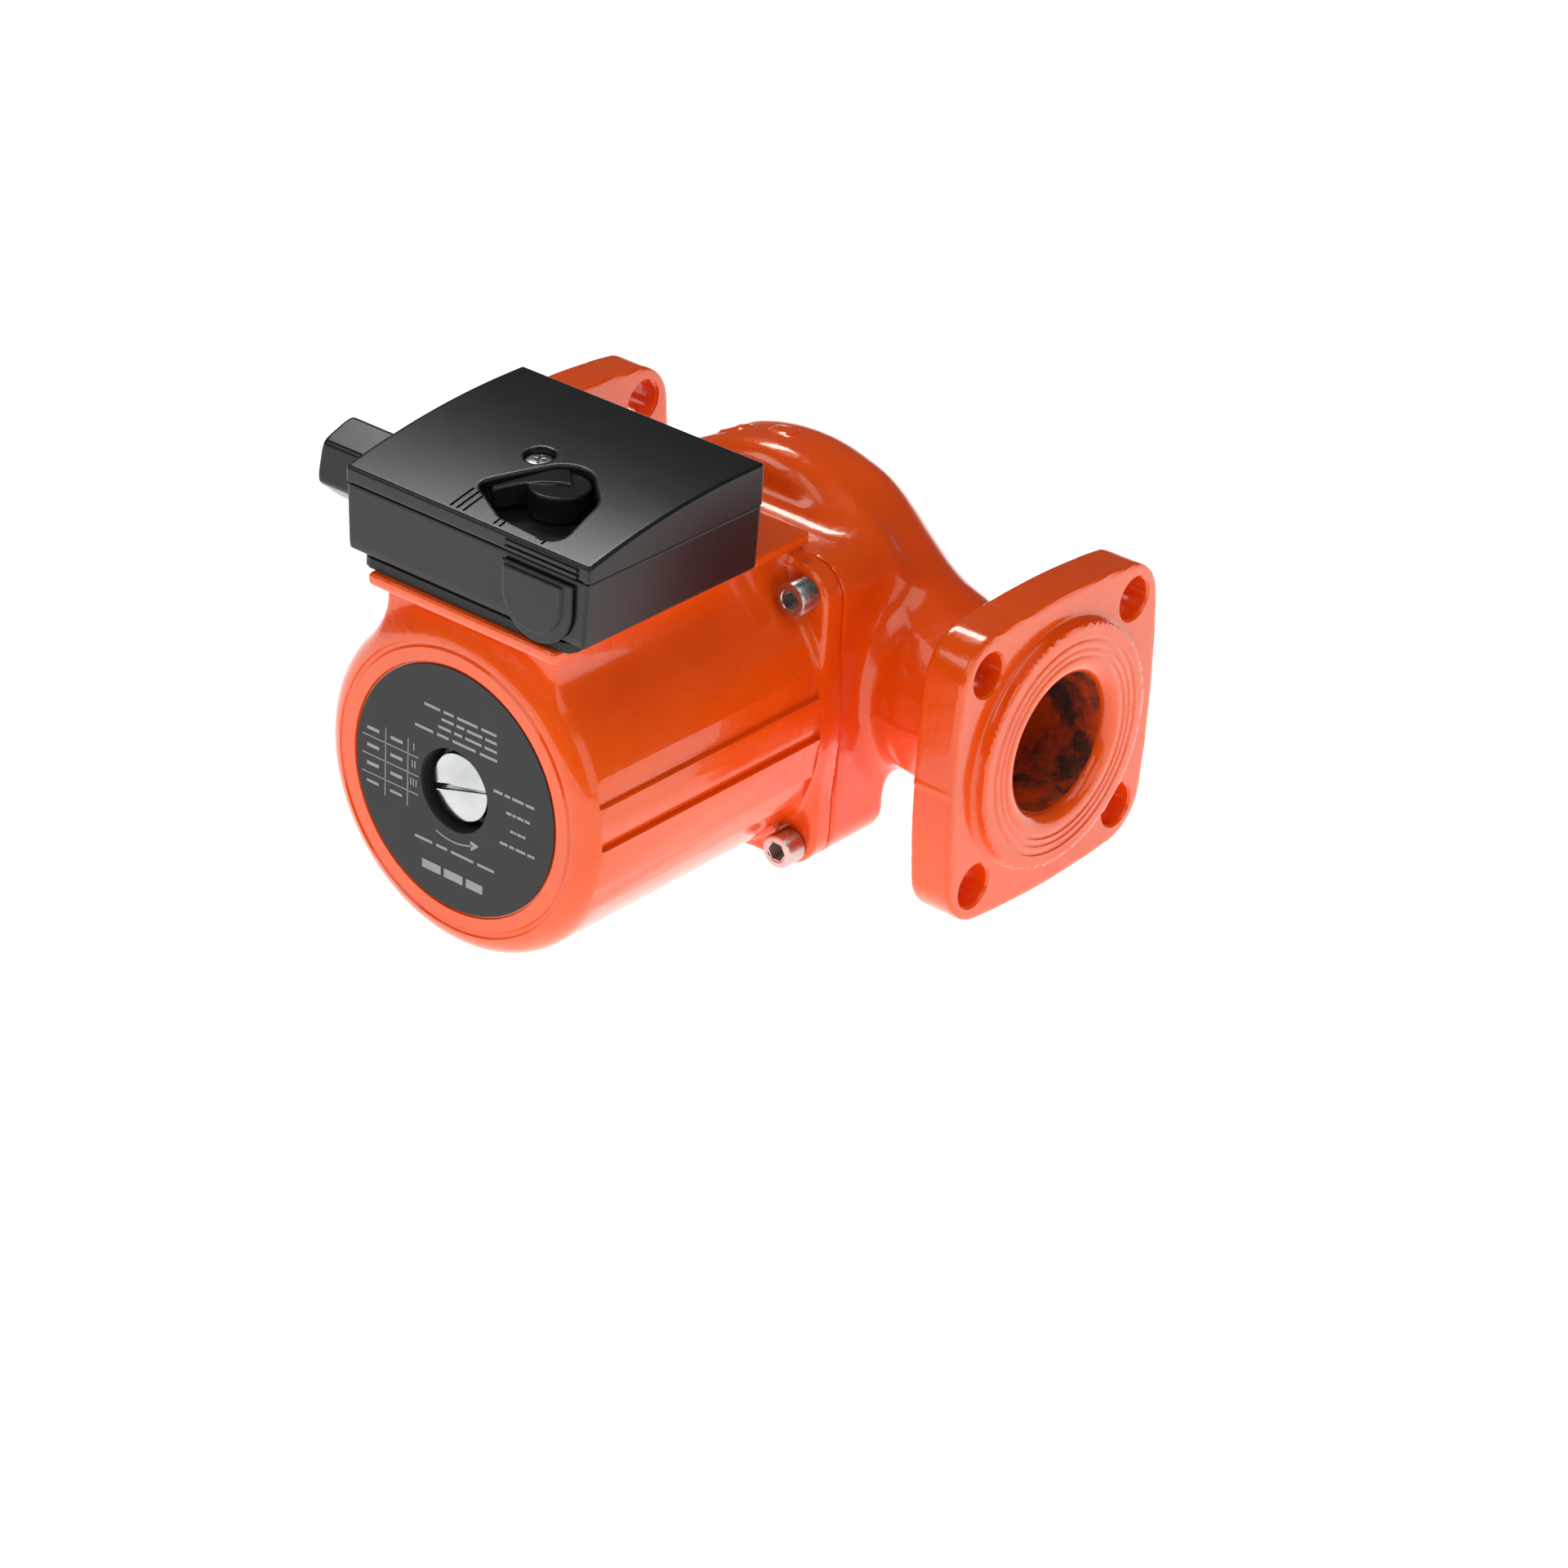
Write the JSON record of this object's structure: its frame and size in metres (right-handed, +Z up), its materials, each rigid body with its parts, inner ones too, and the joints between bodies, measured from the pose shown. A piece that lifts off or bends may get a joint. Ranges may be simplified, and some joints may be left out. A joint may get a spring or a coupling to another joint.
{
  "type": "circulator pump",
  "caption": "Flanged in-line wet-rotor circulator pump: volute housing, round motor, and a terminal box with speed knob and cable gland.",
  "frame": {"origin": "middle of the bounding box in X and Y, at the lowest point of the motor barrel", "axes": "+X through the right flanged port, shaft along Y with the motor's end at -Y, +Z up"},
  "size_m": [0.2, 0.181, 0.1358],
  "materials": {
    "orange_enamel": "gloss enamel over a casting",
    "black_plastic": "fine satin moulding",
    "screw_steel": "zinc plated",
    "stainless_steel": "bright pressed and ground",
    "plated_brass": "bright plate on brass",
    "grey_label": "satin dark grey with pale print",
    "black_rubber": "matt",
    "lamination_steel": "stacked sheet",
    "enamelled_copper": "enamelled wire, varnished",
    "bearing_ceramic": "polished, pale",
    "impeller_plastic": "moulded, glass filled",
    "grey_plastic": "satin moulding"
  },
  "bodies": {
    "pump": {"pump_housing": "orange_enamel", "neck_ring": "stainless_steel", "bearing_plate": "stainless_steel", "rear_bearing": "bearing_ceramic", "front_bearing": "bearing_ceramic", "housing_gasket": "black_rubber", "rotor_can": "stainless_steel", "stator_stack": "lamination_steel", "winding_front": "enamelled_copper", "winding_rear": "enamelled_copper", "motor_housing": "orange_enamel", "nameplate": "grey_label", "housing_screw_1": "screw_steel", "housing_screw_2": "screw_steel", "housing_screw_3": "screw_steel", "housing_screw_4": "screw_steel", "box_gasket": "black_rubber", "terminal_box_base": "black_plastic", "base_screw_left": "screw_steel", "base_screw_right": "screw_steel", "speed_switch": "grey_plastic", "capacitor": "grey_plastic", "terminal_block": "grey_plastic", "terminal_screw_1": "screw_steel", "terminal_screw_2": "screw_steel", "terminal_screw_3": "screw_steel", "blanking_cover": "black_plastic", "gland_body": "black_plastic"},
    "rotating_assembly": {"shaft": "stainless_steel", "rotor": "lamination_steel", "thrust_ring": "bearing_ceramic", "impeller": "impeller_plastic"},
    "box_cover": {"terminal_box_cover": "black_plastic", "cover_screw": "screw_steel"},
    "knob": {"speed_knob": "black_plastic"},
    "spindle": {"switch_spindle": "grey_plastic"},
    "vent_seal": {"vent_plug_seal": "black_rubber"},
    "vent_plug": {"vent_plug": "plated_brass"},
    "gland_seal": {"gland_seal": "black_rubber"},
    "gland_nut": {"gland_nut": "black_plastic"}
  },
  "joints": [
    {"name": "rotor_spin", "type": "hinge", "parent": "pump", "child": "rotating_assembly", "pos_m": [0, -0.0147, 0.0486], "axis": [0, 1, 0], "continuous": true},
    {"name": "cover_lift", "type": "slide", "parent": "pump", "child": "box_cover", "axis": [0, 0, 1], "range_m": [0, 0.05]},
    {"name": "knob_turn", "type": "hinge", "parent": "box_cover", "child": "knob", "pos_m": [0.01, -0.0632, 0.1286], "axis": [0, 0, 1], "range_deg": [0, 78]},
    {"name": "spindle_turn", "type": "hinge", "parent": "pump", "child": "spindle", "pos_m": [0.01, -0.0632, 0.1206], "axis": [0, 0, 1], "range_deg": [0, 78]},
    {"name": "vent_plug_travel", "type": "slide", "parent": "pump", "child": "vent_seal", "axis": [0, -1, 0], "range_m": [0, 0.0101]},
    {"name": "vent_plug_turn", "type": "hinge", "parent": "vent_seal", "child": "vent_plug", "pos_m": [0, -0.0847, 0.0486], "axis": [0, -1, 0], "range_deg": [0, 2700]},
    {"name": "gland_nut_travel", "type": "slide", "parent": "pump", "child": "gland_seal", "axis": [-1, 0, 0], "range_m": [0, 0.0061]},
    {"name": "gland_nut_turn", "type": "hinge", "parent": "gland_seal", "child": "gland_nut", "pos_m": [-0.06, -0.0647, 0.1157], "axis": [-1, 0, 0], "range_deg": [0, 1440]}
  ],
  "couplings": [
    {"joint": "spindle_turn", "follows": "knob_turn", "ratio": 1},
    {"joint": "vent_plug_travel", "follows": "vent_plug_turn", "m_per_rad": 0.0002128},
    {"joint": "gland_nut_travel", "follows": "gland_nut_turn", "m_per_rad": 0.0002387}
  ]
}
